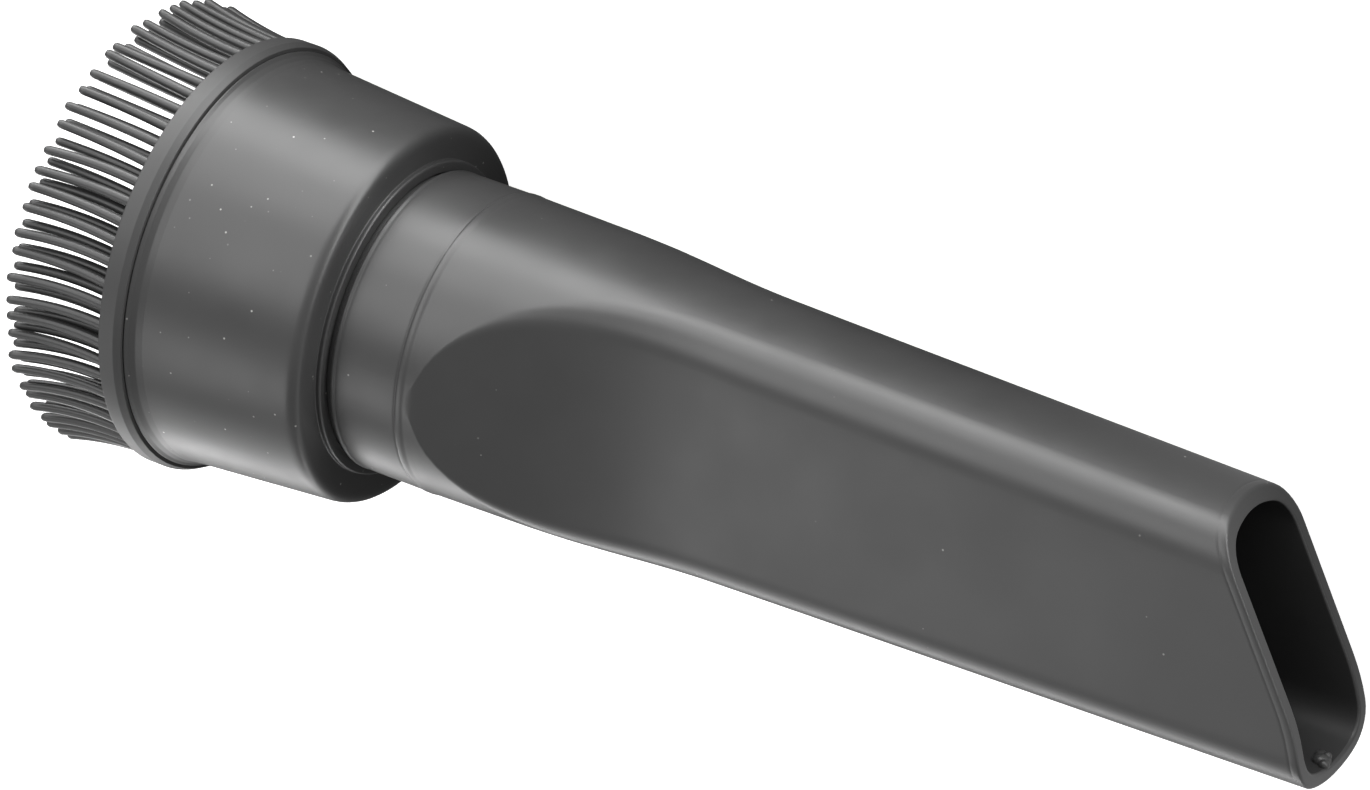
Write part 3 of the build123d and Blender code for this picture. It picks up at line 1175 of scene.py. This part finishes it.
@dataclass(frozen=True)
class SoftBox:
    """Soft box of the studio.

    Attributes:
        name: The lamp's name.
        bearing_deg: Direction from the tool's middle, counted from +X towards +Y.
        height_deg: How high it stands above the horizon.
        distance: From the middle of the tool, in metres.
        size: Width and height in metres.
        radiance: Brightness of its face, where 1 is white.
        tilt_deg: How far its face is laid back from facing the tool.
    """

    name: str
    bearing_deg: float
    height_deg: float
    distance: float
    size: tuple[float, float]
    radiance: float
    tilt_deg: float = 0.0

    def build(self, target: Vector) -> bpy.types.Object:
        """Hang the soft box.

        Args:
            target: What it points at.

        Returns:
            The lamp.
        """
        data = bpy.data.lights.new(self.name, "AREA")
        data.shape = "RECTANGLE"
        data.size, data.size_y = self.size
        data.energy = self.radiance * pi * self.size[0] * self.size[1]
        lamp = bpy.data.objects.new(self.name, data)
        bpy.context.scene.collection.objects.link(lamp)
        bearing, height = radians(self.bearing_deg), radians(self.height_deg)
        away = Vector((cos(height) * cos(bearing), cos(height) * sin(bearing), sin(height)))
        lamp.location = target + away * self.distance
        facing = away.to_track_quat("Z", "Y")
        lamp.rotation_euler = (facing @ Quaternion((1, 0, 0), radians(self.tilt_deg))).to_euler()
        lamp.visible_camera = False
        return lamp


@dataclass
class Studio:
    """Floor, background and soft boxes.

    The camera sees the floor and the background as white. To every other ray the floor is grey, painted
    shade round the tool in a dim room lit by the boxes, and its reflections find the floor white further
    out.

    Attributes:
        floor_half: Half the floor's side, in metres.
        floor_colour: The floor's colour to the camera.
        painted_shade_table_colour: Its colour to every other ray.
        floor_glow: Light that the camera sees on the floor besides what falls on it.
        far_start, far_end: Distances from the wand socket, in metres, between which the floor turns from
        its painted shade to white in reflections and to transmission rays.
        far_glow: Brightness that it has to them beyond.
        background: Brightness of the background to camera and transmission rays.
        ambient: Its brightness to all other rays, reflections included.
        boxes: The soft boxes.
    """

    floor_half: float = 3.0
    floor_colour: str = "f4f4f4"
    # grey of painted shade on the floor, seen by every ray but the camera's
    painted_shade_table_colour: str = "565656"
    floor_glow: float = 0.80
    far_start: float = 0.10
    far_end: float = 0.20
    far_glow: float = 1.0
    background: float = 1.0
    ambient: float = 0.45
    boxes: Sequence[SoftBox] = (
        SoftBox("key_panel", bearing_deg=80, height_deg=-1.8, distance=0.140, size=(0.70, 0.155),
                radiance=7.0, tilt_deg=74),
        SoftBox("key_box", bearing_deg=114, height_deg=18, distance=1.1, size=(0.8, 0.42), radiance=4.6),
        SoftBox("top_box", bearing_deg=123, height_deg=52, distance=1.1, size=(0.5, 0.70), radiance=3.9),
        SoftBox("mid_box", bearing_deg=-132, height_deg=55, distance=1.1, size=(0.5, 0.5), radiance=2.8),
        SoftBox("low_box", bearing_deg=-114, height_deg=14, distance=1.1, size=(1.0, 0.45), radiance=1.2),
        SoftBox("low_strip", bearing_deg=-112, height_deg=-1.5, distance=0.22, size=(0.5, 0.052),
                radiance=4.0),
    )

    def white_for(self, tree: bpy.types.NodeTree, rays: Sequence[Ray]) -> bpy.types.NodeSocket:
        """Add a switch that is 1 for the named kinds of ray.

        Args:
            tree: The tree that gets the switch.
            rays: Kinds of ray.

        Returns:
            The switch.
        """
        path = add_node(tree, "ShaderNodeLightPath")
        switch = path.outputs[rays[0].value]
        for ray in rays[1:]:
            switch = add_node(tree, "ShaderNodeMath", {0: switch, 1: path.outputs[ray.value]},
                              operation="MAXIMUM").outputs[0]
        return switch

    def build_floor(self, height: float) -> bpy.types.Object:
        """Lay the floor.

        Args:
            height: Height of the floor in metres.

        Returns:
            The floor object.
        """
        form = bmesh.new()
        bmesh.ops.create_grid(form, x_segments=1, y_segments=1, size=self.floor_half)
        bmesh.ops.translate(form, verts=form.verts, vec=(0, 0, height))
        mesh = bpy.data.meshes.new("studio_floor")
        form.to_mesh(mesh)
        form.free()
        floor = bpy.data.objects.new("studio_floor", mesh)
        bpy.context.scene.collection.objects.link(floor)
        material = bpy.data.materials.new("white_backdrop_paper_with_painted_shade")
        material.use_nodes = True
        tree = material.node_tree
        tree.nodes.clear()
        seen = self.white_for(tree, (Ray.CAMERA,))
        # Every ray but the camera's finds the floor grey: painted shade round the tool.
        colour = add_node(tree, "ShaderNodeMix", {"Factor": seen, "A": srgb(self.painted_shade_table_colour),
                                                  "B": srgb(self.floor_colour)}, data_type="RGBA")
        paper = add_node(tree, "ShaderNodeBsdfDiffuse", {"Color": colour.outputs["Result"]})
        glow = add_node(tree, "ShaderNodeEmission", {"Strength": self.floor_glow})
        lifted = add_node(tree, "ShaderNodeAddShader", {0: paper.outputs[0], 1: glow.outputs[0]})
        near = add_node(tree, "ShaderNodeMixShader", {0: seen, 1: paper.outputs[0],
                                                      2: lifted.outputs[0]})
        coords = add_node(tree, "ShaderNodeTexCoord").outputs["Object"]
        # Reflections and transmission rays find white beyond far_start; inside it the painted shade
        # stays.
        reach = add_node(tree, "ShaderNodeVectorMath", {0: coords}, operation="LENGTH")
        far = add_node(tree, "ShaderNodeMapRange",
                       {"Value": reach.outputs["Value"], "From Min": self.far_start,
                        "From Max": self.far_end})
        mirrored = self.white_for(tree, (Ray.GLOSSY, Ray.TRANSMISSION))
        share = add_node(tree, "ShaderNodeMath", {0: mirrored, 1: far.outputs["Result"]},
                         operation="MULTIPLY")
        lit = add_node(tree, "ShaderNodeEmission", {"Strength": self.far_glow})
        mix = add_node(tree, "ShaderNodeMixShader", {0: share.outputs[0], 1: near.outputs[0],
                                                     2: lit.outputs[0]})
        add_node(tree, "ShaderNodeOutputMaterial", {"Surface": mix.outputs[0]})
        mesh.materials.append(material)
        floor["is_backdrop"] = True
        return floor

    def build(self, height: float, target: Vector) -> None:
        """Set up the floor, the world and the lamps.

        Args:
            height: Height of the floor in metres.
            target: What the soft boxes point at.
        """
        self.build_floor(height)
        world = bpy.data.worlds.new("studio_white")
        bpy.context.scene.world = world
        world.use_nodes = True
        tree = world.node_tree
        tree.nodes.clear()
        seen = self.white_for(tree, (Ray.CAMERA, Ray.TRANSMISSION))
        dim = add_node(tree, "ShaderNodeBackground", {"Color": (1, 1, 1, 1), "Strength": self.ambient})
        white = add_node(tree, "ShaderNodeBackground", {"Color": (1, 1, 1, 1),
                                                        "Strength": self.background})
        mix = add_node(tree, "ShaderNodeMixShader", {0: seen, 1: dim.outputs[0], 2: white.outputs[0]})
        add_node(tree, "ShaderNodeOutputWorld", {"Surface": mix.outputs[0]})
        for box in self.boxes:
            box.build(target)


def main() -> None:
    """Build the dressed tool, its stage and its camera."""
    logging.basicConfig(level=logging.INFO, format="%(message)s")
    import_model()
    cad_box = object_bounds()
    sizes = ToolSizes()
    bpy.context.scene.view_settings.view_transform = "Standard"
    pieces = [CreviceNozzle(sizes).build(), BrushCollar(sizes).build(), *SoftBrush(sizes).build()]
    for piece in pieces:
        LOG.info("%s has %d faces", piece.name, len(piece.data.polygons))
    Photograph().build(sizes)
    middle = (Vector(cad_box[0]) + Vector(cad_box[1])) / 2
    Studio().build(cad_box[0][2], middle)


if __name__ == "__main__":
    main()
